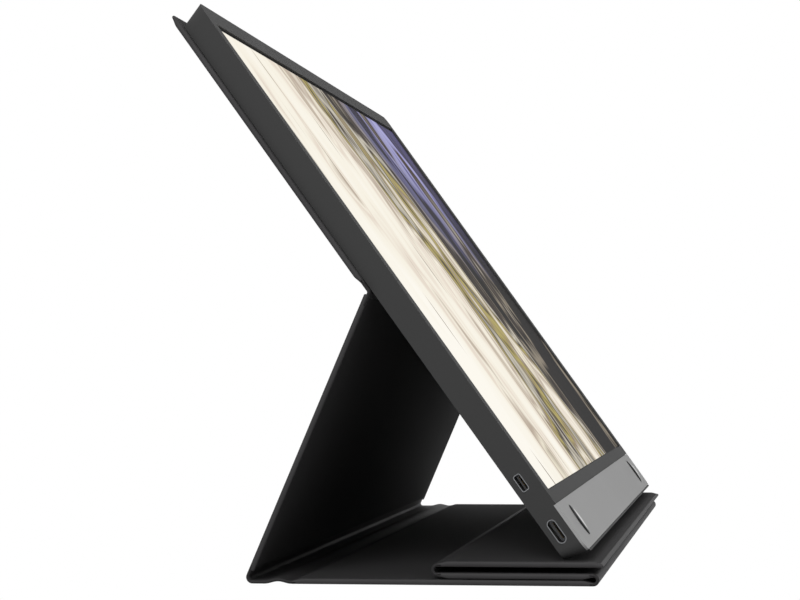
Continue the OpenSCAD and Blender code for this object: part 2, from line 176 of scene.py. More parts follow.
camera_data = bpy.data.cameras.new("camera")
camera_data.lens = FOCAL_MM
camera_data.sensor_width = SENSOR_MM
camera_data.shift_x = SHIFT
camera = bpy.data.objects.new("camera", camera_data)
turned_camera = look(CAMERA_TURN, CAMERA_RISE, CAMERA_ROLL).to_4x4()
camera.matrix_world = Matrix.Translation(CAMERA_AT) @ turned_camera
bpy.context.collection.objects.link(camera)
bpy.context.scene.camera = camera
bpy.context.scene.view_settings.view_transform = "Standard"
print("lens", FOCAL_MM, "mm at", CAMERA_AT)

# %% [markdown]
# Product photographs of dark goods use large soft lamps and a white sweep. The strongest lamp stands on
# the left and lights the side wall that the camera sees. Weak ones above and in front just lift the faces
# that look up and forward. The camera sees the sweep as plain white, while the object gets only its matt
# bounce and a weak sky.


# %% Lamps, world and floor
def soft_lamp(name, at, aim, size, watts):
    """A square area lamp that faces the point aim."""
    data = bpy.data.lights.new(name, "AREA")
    data.size = size
    data.energy = watts
    lamp = bpy.data.objects.new(name, data)
    lamp.location = at
    lamp.rotation_euler = (Vector(aim) - Vector(at)).to_track_quat("-Z", "Y").to_euler()
    bpy.context.collection.objects.link(lamp)


soft_lamp("lamp_above", at=(-0.25, -0.35, 1.25), aim=(0, 0, 0.1), size=0.8, watts=1.8)
soft_lamp("lamp_left", at=(-1.1, 0.15, 0.85), aim=(0, 0, 0.12), size=0.6, watts=9.6)
soft_lamp("lamp_front", at=(0.25, -1.3, 0.7), aim=(0, 0, 0.1), size=0.6, watts=1.0)


def seen_directly(tree):
    """1 for rays that the camera, a gloss or a glass sends, else 0: marks a white that lights nothing."""
    path = add(tree, "LightPath").outputs
    seen = calculate(tree, "MAXIMUM", path["Is Camera Ray"], path["Is Glossy Ray"])
    return calculate(tree, "MAXIMUM", seen, path["Is Transmission Ray"])


def either(tree, plain, shown):
    """The plain shader for rays that light the object, and the shown one for rays that look at it."""
    links = {0: seen_directly(tree), 1: plain.outputs[0], 2: shown.outputs[0]}
    return add(tree, "MixShader", links).outputs["Shader"]


WHITE = linear("#ffffff")
WORLD_LEVEL = 0.16
world = bpy.data.worlds.new("sweep")
bpy.context.scene.world = world
world.use_nodes = True
sky = world.node_tree
sky.nodes.clear()
weak = add(sky, "Background", {"Color": WHITE, "Strength": WORLD_LEVEL})
full = add(sky, "Background", {"Color": WHITE, "Strength": 1.0})
add(sky, "OutputWorld", {"Surface": either(sky, weak, full)})

FLOOR_HALF, FLOOR_DROP = 4.0, 0.0002
floor_mesh = bpy.data.meshes.new("floor")
corners = [(x * FLOOR_HALF, y * FLOOR_HALF, -FLOOR_DROP) for x, y in ((-1, -1), (1, -1), (1, 1), (-1, 1))]
floor_mesh.from_pydata(corners, [], [(0, 1, 2, 3)])
floor = bpy.data.objects.new("floor", floor_mesh)
bpy.context.collection.objects.link(floor)

# matt white paper, as a studio's sweep is
paper, tree = start_material("white_paper_sweep")
matt = add(tree, "BsdfDiffuse", {"Color": linear("#c8c8c8")})
glow = add(tree, "Emission", {"Color": WHITE, "Strength": 1.0})
add(tree, "OutputMaterial", {"Surface": either(tree, matt, glow)})
floor_mesh.materials.append(paper)
print("world level", WORLD_LEVEL)

# %% [markdown]
# The housing of such a monitor is die-cast or moulded and then sprayed: a dark satin coat with a very fine
# tooth. The tooth is a small bump, and broad, faint patches in its roughness keep large faces from looking
# flat. A true tooth of 0.05 mm would vanish at this distance, so it is drawn at 0.35 mm. The coat is so
# matt that its gleam stays weak even where the camera looks along a face, so the specular level is low.


# %% Satin coats
def satin_coat(name, hex_value, roughness, tooth_mm=0.35, height_mm=0.03, gleam=0.2):
    """Sprayed satin coat: fine bump tooth, and roughness that wanders a little over 40 mm patches."""
    material, tree = start_material(name)
    place = add(tree, "TexCoord").outputs["Object"]
    tooth = noise(tree, place, size_mm=tooth_mm, detail=2.0)
    patch = noise(tree, place, size_mm=40, detail=3.0)
    end_material(tree, {
        "Base Color": linear(hex_value),
        "Roughness": remap(tree, patch, roughness - 0.04, roughness + 0.05),
        "Normal": relief(tree, tooth, strength=0.35, depth_mm=height_mm),
        "Specular IOR Level": gleam,
    })
    return material


# cast light alloy under sprayed satin paint
housing_coat = satin_coat("sprayed_dark_grey_housing", "#484848", 0.6, gleam=0.05)
# filled plastic with the fine texture of its mould
rear_coat = satin_coat("moulded_dark_grey_rear_cover", "#3c3c3d", 0.6, tooth_mm=0.6, height_mm=0.05)
# a thin plate with a lighter spray
trim_coat = satin_coat("sprayed_light_grey_trim_plate", "#b2b2b2", 0.5, height_mm=0.015, gleam=0.15)
# black ink printed on the back of the glass, seen through its matt face
border_ink = satin_coat("black_printed_glass_border", "#0b0b0c", 0.5, height_mm=0.004, gleam=0.03)


def cut_metal(name, hex_value, cut_hex, roughness):
    """Dark anodised aluminium with fine tool marks, and a painted highlight: a mark from 0 to 1 turns it
    pale grey where a lamp's highlight would be.
    """
    material, tree = start_material(name)
    place = add(tree, "TexCoord").outputs["Object"]
    links = {"Vector": place, "Scale": per_metre(6), "Distortion": 1.0, "Detail": 1.0}
    tool_marks = add(tree, "TexWave", links).outputs["Fac"]
    # share of the painted highlight at each point, 0 to 1
    cut = add(tree, "Attribute", attribute_name="cut").outputs["Fac"]
    end_material(tree, {
        "Base Color": ramp(tree, cut, [(0.0, hex_value), (0.35, hex_value), (0.55, cut_hex)]),
        "Roughness": roughness,
        "Metallic": 0.3,
        "Normal": relief(tree, tool_marks, strength=0.2, depth_mm=0.005),
    })
    return material


# the pale grey is a painted highlight along the middle of each button's dome
button_coat = cut_metal("dark_anodised_button_painted_highlight", "#151516", "#e6e6e6", roughness=0.3)
print("coats:", housing_coat.name, trim_coat.name)

# %% [markdown]
# Small inner pieces are mostly hidden, but each still is what it is: folded steel, green laminate, moulded
# nylon, amber film. They share one function whose grain is stretched along one axis, as rolled or drawn
# stock has it.


# %% Materials of the inner pieces
def drawn_stock(name, hex_value, roughness, metallic=0.0, grain_mm=(0.3, 0.3, 4.0), depth_mm=0.01):
    """Rolled, drawn or laminated stock: a grain stretched along one axis, in the bump and in the tone."""
    material, tree = start_material(name)
    place = add(tree, "TexCoord").outputs["Object"]
    scale = tuple(per_metre(size) for size in grain_mm)
    stretched = add(tree, "Mapping", {"Vector": place, "Scale": scale}).outputs["Vector"]
    grain = add(tree, "TexNoise", {"Vector": stretched, "Scale": 1.0, "Detail": 2.0}).outputs["Fac"]
    end_material(tree, {
        "Base Color": toned(tree, hex_value, grain, change=0.1),
        "Roughness": roughness,
        "Metallic": metallic,
        "Normal": relief(tree, grain, strength=0.3, depth_mm=depth_mm),
    })
    return material


# cold-rolled sheet with a thin coat of tin, as trays, cans, screws and holding plates are
steel = drawn_stock("rolled_tinned_steel", "#8f9193", 0.36, metallic=1.0)
# the shells of sockets: drawn steel with dull nickel on it
nickel = drawn_stock("dull_nickel_socket_shell", "#77787a", 0.4, metallic=0.9, depth_mm=0.004)
# glass cloth in resin under green ink
laminate = drawn_stock("green_glass_laminate", "#1f5a3a", 0.45, grain_mm=(0.4, 0.4, 0.4))
# filled nylon, straight from the mould
nylon = drawn_stock("black_moulded_nylon", "#101011", 0.5, grain_mm=(0.5, 0.5, 0.5))
# copper tracks between two amber films
film = drawn_stock("amber_cable_film", "#a8672c", 0.35, grain_mm=(0.2, 3.0, 0.2))
# a cast sheet that spreads the lamps' light
acrylic = drawn_stock("clear_cast_acrylic", "#dfe9ea", 0.12, grain_mm=(5.0, 5.0, 5.0))
# frosted film, and the white strip that carries the lamps
diffuser = drawn_stock("white_diffuser_film", "#f2f2ee", 0.7, grain_mm=(0.2, 0.2, 0.2))
# soft closed foam that keeps the tray from rattling
foam = drawn_stock("black_cell_foam", "#1b1b1b", 0.9, grain_mm=(0.8, 0.8, 0.8), depth_mm=0.1)
# pressed paper pulp, the stiffener of bookbinders
greyboard = drawn_stock("pressed_grey_board", "#7d715f", 0.9, grain_mm=(0.6, 3.0, 0.6), depth_mm=0.05)
# thin gold over copper
gilding = drawn_stock("gold_plated_contacts", "#c8a24a", 0.3, metallic=1.0, grain_mm=(0.1, 0.1, 1.0),
                      depth_mm=0.004)

FINISHES = {
    housing_coat: ["front_frame"],
    rear_coat: ["rear_cover"],
    trim_coat: ["trim_plate"],
    border_ink: ["display_cell"],
    button_coat: ["left_button", "right_button"],
    steel: ["display_tray", "shield_can", "rear_screws", "holding_magnets", "flap_plates"],
    nickel: ["usb_shell", "hdmi_shell"],
    laminate: ["main_board", "button_board"],
    nylon: ["board_chips", "button_switches", "usb_tongue", "hdmi_tongue"],
    film: ["button_cable", "display_cable"],
    acrylic: ["light_guide"],
    diffuser: ["optical_sheets", "led_strip"],
    foam: ["tray_pads"],
    greyboard: ["flap_board", "leg_board", "base_board", "middle_board", "top_board"],
}
for material, names in FINISHES.items():
    for name in names:
        mesh = frame["nodes"][name].data
        mesh.materials.clear()
        mesh.materials.append(material)
print("finished nodes:", sum(len(names) for names in FINISHES.values()))

# %% [markdown]
# Everything on the screen is placed in the screen's own frame: x to the right, u up along the glass and n
# out of it. Its directions come from the joint that lifts the monitor off, and its start from the front
# frame's box: the front edge of the top is the highest point, and the front edge of the foot is the
# furthest forward.

# %% The screen's own frame
joints = {joint["name"]: joint for joint in frame["joints"]}
X_AXIS = np.array([1.0, 0, 0])
SCREEN_N = np.array(joints["screen_lift_off"]["axis"], float)
SCREEN_U = np.array([0.0, SCREEN_N[2], -SCREEN_N[1]])
SCREEN_H, SCREEN_T = 227 * MM, 9 * MM
frame_low, frame_high = np.array(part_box("front_frame"))
foot_to_front = SCREEN_N * SCREEN_T
foot_to_top_front = SCREEN_U * SCREEN_H + foot_to_front
SCREEN_START = np.array([0.0, frame_low[1] - foot_to_front[1], frame_high[2] - foot_to_top_front[2]])


def on_screen(x, u, n):
    """Points of the row frame from x, u and n, given as arrays in metres."""
    x, u, n = np.broadcast_arrays(x, u, n)
    return x[..., None] * X_AXIS + u[..., None] * SCREEN_U + n[..., None] * SCREEN_N + SCREEN_START


print("screen starts at", SCREEN_START.round(5).tolist())

# %% [markdown]
# Every soft surface here is a grid: points as a function of two parameters, worked out as whole arrays.
# Quads join neighbours. Two grids of the same size, one under the other, become a closed shell when a wall
# joins their rims.


# %% Grids to meshes
def grid_faces(rows, columns, start=0):
    """Quads between neighbours of a rows by columns grid whose first point has the number start."""
    index = start + np.arange(rows * columns).reshape(rows, columns)
    corners = [index[:-1, :-1], index[:-1, 1:], index[1:, 1:], index[1:, :-1]]
    return np.stack(corners, axis=-1).reshape(-1, 4)


def shell_faces(rows, columns):
    """Faces of a closed shell: a lower grid turned over, then an upper grid, and a wall round the rim."""
    count = rows * columns
    index = np.arange(count).reshape(rows, columns)
    rim = np.concatenate([index[0], index[1:, -1], index[-1, -2::-1], index[-2:0:-1, 0]])
    after = np.roll(rim, -1)
    wall = np.stack([rim, after, after + count, rim + count], axis=-1)
    return np.concatenate([grid_faces(rows, columns)[:, ::-1], grid_faces(rows, columns, count), wall])


def make_piece(name, points, faces, material, uv=None, smooth=True, **marks):
    """A mesh object from arrays of points and quads. uv places each point on a pattern, and each mark is a
    named value at each point that a material can read."""
    mesh = bpy.data.meshes.new(name)
    mesh.from_pydata(points.reshape(-1, 3).tolist(), [], faces.tolist())
    mesh.materials.append(material)
    mesh.polygons.foreach_set("use_smooth", np.full(len(faces), smooth))
    if uv is not None:
        layer = mesh.uv_layers.new(name="pattern")
        layer.data.foreach_set("uv", uv.reshape(-1, 2)[faces.ravel()].ravel())
    for mark, values in marks.items():
        mesh.attributes.new(mark, "FLOAT", "POINT").data.foreach_set("value", np.ravel(values))
    mesh.update()
    piece = bpy.data.objects.new(name, mesh)
    bpy.context.collection.objects.link(piece)
    return piece


def facing_out(piece):
    """Turns all faces of a closed piece outwards."""
    work = bmesh.new()
    work.from_mesh(piece.data)
    bmesh.ops.recalc_face_normals(work, faces=work.faces)
    work.to_mesh(piece.data)
    work.free()
    return piece


def make_shell(name, lower, upper, material, **marks):
    """A closed piece from a lower and an upper grid of points, both with the same marks."""
    both = {mark: np.stack([values, values]) for mark, values in marks.items()}
    faces = shell_faces(*lower.shape[:2])
    return facing_out(make_piece(name, np.stack([lower, upper]), faces, material, **both))


print("a shell of 3 by 4 points has", len(shell_faces(3, 4)), "quads")

# %% [markdown]
# The cover's outside is coated split leather: a fine pebble grain, nearly matt, a little paler at edges
# and folds, partly from handling and partly as a painted highlight where they catch the light. The grain is
# a cell pattern at 0.6 mm over creases at 6 mm. Its inside is a close-napped microfibre, flatter and
# softer, whose nap shows as a faint sheen at grazing angles.


# %% Leather and lining
def coated_leather(name, hex_value, pale_edge_hex, roughness):
    """Pebble grain over soft creases; a mark from 0 to 1 pales the edges in patches, partly as handling and
    partly as a painted highlight.
    """
    material, tree = start_material(name)
    place = add(tree, "TexCoord").outputs["Object"]
    links = {"Vector": place, "Scale": per_metre(0.6)}
    pebble = add(tree, "TexVoronoi", links, feature="SMOOTH_F1").outputs["Distance"]
    crease = noise(tree, place, size_mm=6, detail=4.0)
    cloud = noise(tree, place, size_mm=45, detail=3.0)
    wear = add(tree, "Attribute", attribute_name="wear").outputs["Fac"]
    # paler in patches near rims and folds: partly handling, partly a painted highlight
    wear_and_highlight_patches = calculate(tree, "MULTIPLY", wear, cloud)
    creased = relief(tree, crease, strength=0.25, depth_mm=0.1)
    end_material(tree, {
        "Base Color": ramp(tree, wear_and_highlight_patches, [(0.0, hex_value), (0.75, pale_edge_hex)]),
        "Roughness": remap(tree, cloud, roughness - 0.05, roughness + 0.07),
        "Normal": relief(tree, pebble, strength=0.12, depth_mm=0.02, invert=True, under=creased),
        "Specular IOR Level": 0.2,
    })
    return material


def microfibre(name, hex_value, roughness):
    """Short nap: a fine noise bump and sheen, with slow patches where the nap lies another way."""
    material, tree = start_material(name)
    place = add(tree, "TexCoord").outputs["Object"]
    nap = noise(tree, place, size_mm=0.5, detail=3.0)
    brushed = noise(tree, place, size_mm=28, detail=2.0, distortion=0.6)
    end_material(tree, {
        "Base Color": toned(tree, hex_value, brushed, change=0.14),
        "Roughness": roughness,
        "Normal": relief(tree, nap, strength=0.5, depth_mm=0.1),
        "Sheen Weight": 0.05,
        "Specular IOR Level": 0.1,
    })
    return material


leather = coated_leather("coated_split_leather", "#242324", "#454445", 0.62)
lining = microfibre("napped_microfibre_lining", "#1e1d1e", 0.85)
print("cover materials:", leather.name, lining.name)

# %% [markdown]
# A cover panel is a stiff board wrapped in leather, with a lining sheet let into its inner face. Seen
# closely it is a slab with a rounded rim, which thins to a bonded border only where it runs into a fold.
# One function gives the heights of its two faces from the distances to the rim and to the folds, so the
# same slab serves all five panels. An end of a panel is a fold's border, a rim, a hem, which is both at
# once, or the board's blunt end.

# %% Panel slabs
PANEL_NODES = ("base_leather", "base_board", "base_lining", "top_leather")
box_of = {name: np.array(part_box(name)) for name in PANEL_NODES}
COVER_W = np.ptp(box_of["base_leather"][:, 0])
LEATHER_T = np.ptp(box_of["base_leather"][:, 2])
BOARD_T = np.ptp(box_of["base_board"][:, 2])
# the lining's solid wraps the board's edge, so its height holds the board too
LINING_T = np.ptp(box_of["base_lining"][:, 2]) - BOARD_T
PANEL_T, HEM_T = LEATHER_T + BOARD_T + LINING_T, LEATHER_T + LINING_T
# width of a bonded border, radius of a rounded rim, and width of the step up to the board
HEM, RIM_R = 2 * MM, 0.5 * MM
STEP_W = HEM * 1.9
# the lining sheet: its inset from the rim, the depth of its tray and its thickness
LINING_INSET, LINING_SINK, SHEET_T = 1.1 * MM, 0.2 * MM, 0.28 * MM
TRAY_START, TRAY_END = LINING_INSET - 0.15 * MM, LINING_INSET + 0.1 * MM
# the ripple's height, and how far in from the rim the paler edge reaches, which is partly handling and
# partly a painted highlight
RIPPLE, WEAR_AND_HIGHLIGHT_W = 0.05 * MM, 1.6 * MM
# the rim's two faces stop a little apart, so that a narrow wall can join them
RIM_SHARE = 0.97
# stands for the distance to a rim where there is none, and is more than any panel's size
FAR_OFF = 1.0


def smooth_step(value, start, end):
    """0 before start, 1 after end, and between them t * t * (3 - 2 * t), where t runs from 0 to 1."""
    t = np.clip((value - start) / (end - start), 0, 1)
    return t * t * (3 - 2 * t)


def rounded(to_rim):
    """Share of the full thickness near a rim: a quarter ellipse, 1 from RIM_R inwards."""
    return np.sqrt(1 - np.clip(1 - to_rim / RIM_R, 0, RIM_SHARE) ** 2)


def edge_spaced(length, dense, inner_count):
    """Places from 0 to length: 12 over dense at each end, closer and closer towards it, and the inner ones
    even between them."""
    edge = dense * (1 - np.cos(np.linspace(0, np.pi / 2, 12)))
    inner = np.linspace(dense, length - dense, inner_count)[1:-1]
    return np.concatenate([edge, inner, length - edge[::-1]])


def to_edges(x, y, length, ends, kinds):
    """Distance to each end whose kind is among kinds and, where rims are asked for, to the two sides."""
    gaps = [COVER_W / 2 - np.abs(x) if "rim" in kinds else np.full(x.shape, FAR_OFF)]
    gaps += [gap for gap, kind in zip((y, length - y), ends) if kind in kinds]
    return np.minimum.reduce(gaps)


def panel_heights(x, y, length, ends):
    """Flat and stepped face over a panel. The step rises past each fold's border, the stepped face carries
    a slow ripple of waves 90 to 150 mm long, and both faces draw together at the rim along an ellipse."""
    to_fold = to_edges(x, y, length, ends, ("border", "hem"))
    to_rim = to_edges(x, y, length, ends, ("rim", "hem"))
    waves = np.sin(x * 41 + y * 23) * np.sin(y * 67 + 1.3)
    ripple = RIPPLE * waves * smooth_step(to_rim, HEM, 5 * HEM)
    raised = HEM_T + BOARD_T * smooth_step(to_fold, 0, STEP_W) + ripple
    middle = raised / 2
    share = rounded(to_rim)
    return middle - middle * share, middle + (raised - middle) * share


def panel_slab(name, length, place, ends, flat_is_leather):
    """One cover panel in two pieces, leather slab and lining sheet; place turns local x, y, z into the row
    frame. The slab's inner face is drawn back by a shallow tray, in which the sheet lies."""
    x = edge_spaced(COVER_W, dense=4 * MM, inner_count=90) - COVER_W / 2
    x, y = np.meshgrid(x, edge_spaced(length, dense=4 * MM, inner_count=34))
    under, over = panel_heights(x, y, length, ends)
    inset = to_edges(x, y, length, ends, ("rim", "hem"))
    tray = LINING_SINK * smooth_step(inset, TRAY_START, TRAY_END)
    under, over = (under, over - tray) if flat_is_leather else (under + tray, over)
    # paler towards the rim: partly handling, partly a painted highlight on the rounded rim
    wear_and_highlight_share = np.exp(-inset / WEAR_AND_HIGHLIGHT_W)
    slab = make_shell(name + "_cover", place(x, y, under), place(x, y, over), leather, wear=wear_and_highlight_share)

    gap = LINING_INSET
    x = edge_spaced(COVER_W - 2 * gap, dense=3 * MM, inner_count=60) - COVER_W / 2 + gap
    x, y = np.meshgrid(x, edge_spaced(length - 2 * gap, dense=3 * MM, inner_count=24) + gap)
    flat, stepped = panel_heights(x, y, length, ends)
    under, over = (stepped - SHEET_T, stepped) if flat_is_leather else (flat, flat + SHEET_T)
    sheet = make_shell(name + "_lining_sheet", place(x, y, under), place(x, y, over), lining)
    return slab, sheet


print("panel", round(PANEL_T / MM, 2), "mm thick, border", round(HEM_T / MM, 2), "mm")

# %% [markdown]
# Each panel is placed by a small function that maps its own x, y and height to the row frame. The flap and
# the leg lie with their lining flat against the monitor's back; the three lower panels have their leather
# flat. The leg's inner face passes between two circles and touches both, one about the mid fold and one
# about the foot's roll. That gives its angle: the angle of the line between their middles plus asin(sum of
# their radii / distance).

# %% Place the five panels
STAND_AT = np.array(joints["stand_fold"]["pos_m"])
BACK_AT = np.array(joints["back_fold"]["pos_m"])
FRONT_AT = np.array(joints["front_fold_hinge"]["pos_m"])
REAR_AT = np.array(joints["rear_fold_hinge"]["pos_m"])


def in_plane(start, along, away):
    """A placing function: local y runs along one direction, height along another, x stays x."""
    start, along, away = (np.array(v, float) for v in (start, along, away))

    def place(x, y, z):
        return x[..., None] * X_AXIS + y[..., None] * along + z[..., None] * away + start

    return place


# bare strips beside the mid fold and the foot's roll, and how far the leg's slab ends before the fold
FOLD_STRIP, FOOT_STRIP, LEG_SHORT = 3 * MM, 2 * MM, 0.4 * MM
# the mid fold's inner and outer radius
FOLD_IN = 0.6 * MM
FOLD_OUT = FOLD_IN + HEM_T
# air between the flap and the monitor's back, and how far the flap stands above the monitor's top
FLAP_GAP, FLAP_TIP = 0.1 * MM, 1.2 * MM
FLAP_FROM = float(np.dot(BACK_AT - SCREEN_START, SCREEN_U)) + FOLD_STRIP
flap_place = in_plane(SCREEN_START + SCREEN_U * FLAP_FROM - SCREEN_N * FLAP_GAP, SCREEN_U, -SCREEN_N)

FOOT_R = STAND_AT[2]
foot_to_fold = BACK_AT - STAND_AT
apart = float(np.linalg.norm(foot_to_fold))
both_radii = FOOT_R - PANEL_T + FOLD_OUT
LEG_ANGLE = np.arctan2(foot_to_fold[2], foot_to_fold[1]) + np.arcsin(both_radii / apart)
LEG_REACH = np.sqrt(apart**2 - both_radii**2)
LEG_UP = np.array([0.0, np.cos(LEG_ANGLE), np.sin(LEG_ANGLE)])
LEG_IN = np.array([0.0, -np.sin(LEG_ANGLE), np.cos(LEG_ANGLE)])
leg_place = in_plane(STAND_AT + LEG_IN * (PANEL_T - FOOT_R) + LEG_UP * FOOT_STRIP, LEG_UP, -LEG_IN)

UP, BACK = np.array([0.0, 0, 1.0]), np.array([0.0, 1.0, 0])
base_rear = box_of["base_leather"][1, 1]
middle_top = FRONT_AT[2] * 2
top_under = REAR_AT[2] * 2 - middle_top
top_front_y = box_of["top_leather"][0, 1]
base_place = in_plane([0, FRONT_AT[1], 0], BACK, UP)
middle_place = in_plane([0, FRONT_AT[1], middle_top], BACK, -UP)
top_place = in_plane([0, top_front_y, top_under], BACK, UP)
FOLDED = ("border", "border")
# length, placing function, kinds of the two ends, whether the flat face is leather, body
PANELS = {
    "flap": (SCREEN_H + FLAP_TIP - FLAP_FROM, flap_place, ("border", "hem"), False, "back_flap"),
    "leg": (LEG_REACH - LEG_SHORT - FOOT_STRIP, leg_place, ("board", "rim"), False, "leg"),
    "base": (base_rear - FRONT_AT[1], base_place, FOLDED, True, "base"),
    "middle": (REAR_AT[1] - FRONT_AT[1], middle_place, FOLDED, True, "middle_panel"),
    "top": (REAR_AT[1] - top_front_y, top_place, ("hem", "border"), True, "top_panel"),
}
for name, (length, place, ends, flat_is_leather, body) in PANELS.items():
    slab, sheet = panel_slab(name, length, place, ends, flat_is_leather)
    named = ((slab, "cover_leather", name + "_leather"), (sheet, "cover_lining", name + "_lining"))
    for piece, slot, node in named:
        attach(piece, body)
        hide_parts(node)
    print(name, "panel", round(length / MM, 1), "mm long on", body)

# %% [markdown]
# Between the panels the leather and the lining run on alone, as soft strips that bend. A strip is a
# profile: a middle line in the side view with a thickness, carried across the cover's width. Its ends
# reach a little under the panels, its rim is rounded, and fine cross wrinkles run along a fold that has
# been bent often. Each strip crosses a joint between two bodies, and is left where it is made, tied to
# neither.

# %% Soft fold strips
STRIP_T, TABLE_GAP = HEM_T - 0.06 * MM, 0.02 * MM
LAP, WRINKLE = 1.2 * MM, 0.06 * MM
# the spine's soft arch: its rise, and how far before the foot's roll it ends
ARCH_RISE, ARCH_END = 0.8 * MM, 4 * MM
# where blends start and end: either way from the mid fold, and about the foot
FOLD_BLEND = 2.4 * MM
BEFORE_FOOT, OVER_TABLE, UP_LEG = 1.5 * MM, 0.4 * MM, 1.2 * MM


def arc(centre, radius, start, end):
    """22 points on a circle in the side view, angles in radians from +Y towards +Z."""
    a = np.linspace(start, end, 22)
    return np.stack([centre[1] + radius * np.cos(a), centre[2] + radius * np.sin(a)], axis=-1)


def straight(start, end, count):
    """Evenly spaced points from start to end in the side view, both included."""
    return np.linspace(np.array(start), np.array(end), count)


def fold_strip(name, line):
    """A closed strip: two faces either side of line, offset along its normal, drawn together at both sides.
    A paler tone, partly from handling and partly a painted highlight, and wrinkles grow from its ends to
    its middle like half a sine wave. The wrinkles are some 20 mm apart, and their spacing wanders over 110
    mm."""
    step = np.gradient(line, axis=0)
    step /= np.linalg.norm(step, axis=1, keepdims=True)
    normal = np.stack([-step[:, 1], step[:, 0]], axis=-1)
    across = edge_spaced(COVER_W, dense=1.5 * MM, inner_count=120) - COVER_W / 2
    half = STRIP_T / 2 * rounded(COVER_W / 2 - np.abs(across))
    bell = np.sin(np.pi * np.linspace(0, 1, len(line)))[:, None] * np.ones(len(across))
    crumple = WRINKLE * bell * np.sin(across * 310 + 3 * np.sin(across * 57))

    def offset(away):
        flat = line[:, None, :] + normal[:, None, :] * away[..., None]
        return np.concatenate([np.broadcast_to(across[:, None], (*away.shape, 1)), flat], axis=-1)

    return make_shell(name, offset(0 * bell - half), offset(half + crumple), leather, wear=0.3 * bell)


def mid_fold_line():
    """Down the flap's border, round the fold, and down the leg's inner face."""
    flap_side = np.arctan2(SCREEN_N[2], SCREEN_N[1])
    leg_side = np.arctan2(LEG_IN[2], LEG_IN[1]) % (2 * np.pi)
    turn = arc(BACK_AT, (FOLD_IN + FOLD_OUT) / 2, flap_side, leg_side)
    first = turn[0] + (FOLD_STRIP + LAP) * SCREEN_U[1:]
    last = turn[-1] - (FOLD_STRIP + LAP) * LEG_UP[1:]
    return np.concatenate([straight(first, turn[0], 9)[:-1], turn, straight(turn[-1], last, 9)[1:]])


def half_turn_line(centre, radius, out):
    """A half circle between two stacked panels, lapped into each; out is -1 to the front, 1 to the back."""
    turn = arc(centre, radius, np.pi / 2, np.pi / 2 - out * np.pi)
    first, last = turn[0] - [out * LAP, 0], turn[-1] - [out * LAP, 0]
    return np.concatenate([straight(first, turn[0], 5)[:-1], turn, straight(turn[-1], last, 5)[1:]])


def spine_line():
    """From the base's rear edge over the soft arch, along the table, round the foot and up the leg."""
    half = STRIP_T / 2 + TABLE_GAP
    arch_end = STAND_AT[1] - ARCH_END
    y = np.linspace(base_rear, arch_end, 20)
    arch = half + ARCH_RISE * np.sin(np.pi * (y - base_rear) / (arch_end - base_rear)) ** 2
    over = np.stack([y, arch], axis=-1)
    roll = arc(STAND_AT, FOOT_R - half, -np.pi / 2, np.arctan2(-LEG_IN[2], -LEG_IN[1]))
    lapped = straight([base_rear - LAP, half], over[0], 4)[:-1]
    table = straight(over[-1], roll[0], 7)[1:-1]
    up_leg = straight(roll[-1], roll[-1] + (FOOT_STRIP + LAP) * LEG_UP[1:], 7)[1:]
    return np.concatenate([lapped, over, table, roll, up_leg])


def point(flat):
    """A point on the cover's middle line, from its place in the side view."""
    return (0.0, float(flat[0]), float(flat[1]))


half_hem = HEM_T / 2
rear_r = (top_under - middle_top) / 2 + half_hem
under_foot = STAND_AT[1:] - LEG_IN[1:] * FOOT_R
# middle line, the two bodies, and where the blend between them starts and ends
STRIPS = {
    "mid_fold": (mid_fold_line(), "leg", "back_flap", point(BACK_AT[1:] - FOLD_BLEND * LEG_UP[1:]),
                 point(BACK_AT[1:] + FOLD_BLEND * SCREEN_U[1:])),
    "front_fold": (half_turn_line(FRONT_AT, FRONT_AT[2] - half_hem, -1), "base", "middle_panel",
                   point([FRONT_AT[1], HEM_T]), point([FRONT_AT[1], middle_top - HEM_T])),
    "rear_fold": (half_turn_line(REAR_AT, rear_r, 1), "middle_panel", "top_panel",
                  point([REAR_AT[1], middle_top]), point([REAR_AT[1], top_under])),
    "spine": (spine_line(), "base", "leg", point([STAND_AT[1] - BEFORE_FOOT, OVER_TABLE]),
              point(under_foot + LEG_UP[1:] * UP_LEG)),
}
for node, (line, first_body, second_body, start, end) in STRIPS.items():
    strip = fold_strip(node + "_strip", line)
    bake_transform(strip)
    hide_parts(node)
    print(node, "strip has", len(line), "rows")

# %% [markdown]
# A lit screen is a picture seen through an anti-glare film. The picture here is a made-up one: tall soft
# streaks in ivory and taupe that turn to brown, olive and lilac on dark towards one side. It is a pattern
# on the piece's own map, so it stays with the glass. The film is etched matt, so it adds only a faint,
# rough reflection.

# %% The lit picture
# the viewing area, its height above the foot, and the black margins inside it
VIEW_W, VIEW_H, CHIN = 345 * MM, 194.5 * MM, 24.3 * MM
EDGE_BLACK, TOP_BLACK = 0.45 * MM, 1.2 * MM
# how deep the glass lies in the front frame, and how far the picture lies off it
BEZEL_STEP, GLASS_LIFT = 0.8 * MM, 0.03 * MM
GLASS_N = SCREEN_T - BEZEL_STEP + GLASS_LIFT
WARM = [
    (0.0, "#faf6ec"), (0.22, "#f4eedf"), (0.30, "#e2d5c6"), (0.34, "#f3ecdc"), (0.41, "#b5a594"),
    (0.45, "#e9e1cd"), (0.50, "#857463"), (0.53, "#b3a560"), (0.56, "#3a302a"), (0.60, "#c9c2b2"),
    (0.64, "#4a4038"), (0.68, "#1b1512"), (0.74, "#8d8373"), (0.77, "#171210"), (1.0, "#070606"),
]
COOL = [
    (0.0, "#efeef6"), (0.45, "#cfcde6"), (0.53, "#6a5850"), (0.6, "#33261f"), (0.68, "#43342d"),
    (0.72, "#8d8bb8"), (0.79, "#a9a8d6"), (0.84, "#7d7ab0"), (0.88, "#2b2530"), (1.0, "#4a466c"),
]
HAIRLINES = [(0.28, "#8d8379"), (0.33, "#ffffff"), (1.0, "#ffffff")]


